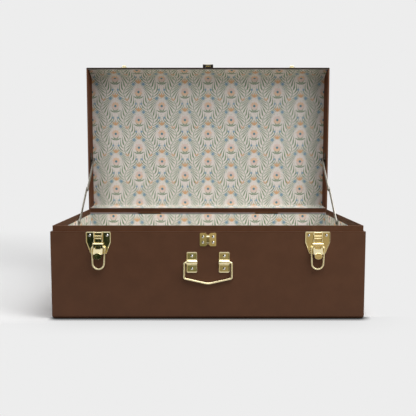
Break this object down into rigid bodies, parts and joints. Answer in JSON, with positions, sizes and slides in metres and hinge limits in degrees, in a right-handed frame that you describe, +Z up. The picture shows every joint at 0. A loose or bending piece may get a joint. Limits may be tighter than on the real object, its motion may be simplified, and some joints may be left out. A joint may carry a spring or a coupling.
{
  "type": "dome top trunk",
  "caption": "Shallow leatherette keepsake trunk with a low domed lid on folding stays, draw latches, a centre hasp, a bail handle and a printed lining.",
  "frame": {"origin": "centre of the flat underside of the base", "axes": "+X to the right along the front, +Y to the back, +Z up"},
  "size_m": [0.5, 0.363, 0.448],
  "materials": {
    "leatherette": "fine grained brown leatherette",
    "brown_board": "smooth brown covering on board",
    "lining_print": "matt printed lining cloth",
    "bare_wood": "plain softwood",
    "brass": "bright pale brass plate",
    "hinge_brass": "brass plate",
    "rivet_nickel": "nickel plate",
    "stay_steel": "nickel plated steel"
  },
  "bodies": {
    "trunk": {"back_panel": "leatherette", "base_panel": "leatherette", "catch_plate": "brass", "front_panel": "leatherette", "front_rivets": "rivet_nickel", "handle_clip_left": "brass", "handle_clip_right": "brass", "hinge_body_leaf_left": "hinge_brass", "hinge_body_leaf_right": "hinge_brass", "hinge_body_screws": "hinge_brass", "hinge_pins": "hinge_brass", "latch_pins": "brass", "latch_plate_left": "brass", "latch_plate_right": "brass", "left_panel": "leatherette", "liner_back": "brown_board", "liner_front": "brown_board", "liner_left": "brown_board", "liner_right": "brown_board", "lining_back": "lining_print", "lining_base": "lining_print", "lining_front": "lining_print", "lining_left": "lining_print", "lining_right": "lining_print", "right_panel": "leatherette", "stay_body_bracket_left": "stay_steel", "stay_body_bracket_right": "stay_steel", "stay_screws": "stay_steel"},
    "lid": {"hasp_pin": "brass", "hasp_plate": "brass", "hinge_lid_leaf_left": "hinge_brass", "hinge_lid_leaf_right": "hinge_brass", "hinge_lid_screws": "hinge_brass", "keeper_left": "brass", "keeper_right": "brass", "lid_end_left": "leatherette", "lid_end_right": "leatherette", "lid_hinge_rail": "brown_board", "lid_lining": "lining_print", "lid_rib_left": "bare_wood", "lid_rib_right": "bare_wood", "lid_rivets": "rivet_nickel", "lid_shell": "leatherette", "stay_lid_bracket_left": "stay_steel", "stay_lid_bracket_right": "stay_steel"},
    "handle": {"handle_bail": "brass"},
    "hasp": {"hasp_flap": "brass"},
    "lever_left": {"latch_lever_left": "brass"},
    "loop_left": {"latch_loop_left": "brass"},
    "stay_lower_left": {"stay_lower_link_left": "stay_steel"},
    "stay_upper_left": {"stay_upper_link_left": "stay_steel", "stay_knee_rivet_left": "stay_steel"},
    "lever_right": {"latch_lever_right": "brass"},
    "loop_right": {"latch_loop_right": "brass"},
    "stay_lower_right": {"stay_lower_link_right": "stay_steel"},
    "stay_upper_right": {"stay_upper_link_right": "stay_steel", "stay_knee_rivet_right": "stay_steel"}
  },
  "joints": [
    {"name": "lid_hinge", "type": "hinge", "parent": "trunk", "child": "lid", "pos_m": [0, 0.1505, 0.1404], "axis": [1, 0, 0], "range_deg": [0, 90]},
    {"name": "handle_swing", "type": "hinge", "parent": "trunk", "child": "handle", "pos_m": [0, -0.1525, 0.0917], "axis": [-1, 0, 0], "range_deg": [0, 130]},
    {"name": "hasp_swing", "type": "hinge", "parent": "lid", "child": "hasp", "pos_m": [0, 0.1531, 0.4455], "axis": [1, 0, 0], "range_deg": [0, 180]},
    {"name": "lever_left_lift", "type": "hinge", "parent": "trunk", "child": "lever_left", "pos_m": [-0.1733, -0.154, 0.1206], "axis": [1, 0, 0], "range_deg": [-100, 0]},
    {"name": "loop_left_swing", "type": "hinge", "parent": "lever_left", "child": "loop_left", "pos_m": [-0.1733, -0.1546, 0.1165], "axis": [-1, 0, 0], "range_deg": [0, 183]},
    {"name": "stay_lower_left_fold", "type": "hinge", "parent": "trunk", "child": "stay_lower_left", "pos_m": [-0.2422, 0.028, 0.136], "axis": [1, 0, 0], "range_deg": [-59.7, 0]},
    {"name": "stay_upper_left_fold", "type": "hinge", "parent": "lid", "child": "stay_upper_left", "pos_m": [-0.2422, 0.1667, 0.2524], "axis": [1, 0, 0], "range_deg": [0, 15.7]},
    {"name": "lever_right_lift", "type": "hinge", "parent": "trunk", "child": "lever_right", "pos_m": [0.1733, -0.154, 0.1206], "axis": [1, 0, 0], "range_deg": [-100, 0]},
    {"name": "loop_right_swing", "type": "hinge", "parent": "lever_right", "child": "loop_right", "pos_m": [0.1733, -0.1546, 0.1165], "axis": [-1, 0, 0], "range_deg": [0, 183]},
    {"name": "stay_lower_right_fold", "type": "hinge", "parent": "trunk", "child": "stay_lower_right", "pos_m": [0.2422, 0.028, 0.136], "axis": [1, 0, 0], "range_deg": [-59.7, 0]},
    {"name": "stay_upper_right_fold", "type": "hinge", "parent": "lid", "child": "stay_upper_right", "pos_m": [0.2422, 0.1667, 0.2524], "axis": [1, 0, 0], "range_deg": [0, 15.7]}
  ],
  "couplings": [
    {"joint": "stay_lower_left_fold", "follows": "lid_hinge", "ratio": -0.66307},
    {"joint": "stay_upper_left_fold", "follows": "lid_hinge", "ratio": 0.1739},
    {"joint": "stay_lower_right_fold", "follows": "lid_hinge", "ratio": -0.66307},
    {"joint": "stay_upper_right_fold", "follows": "lid_hinge", "ratio": 0.1739}
  ]
}
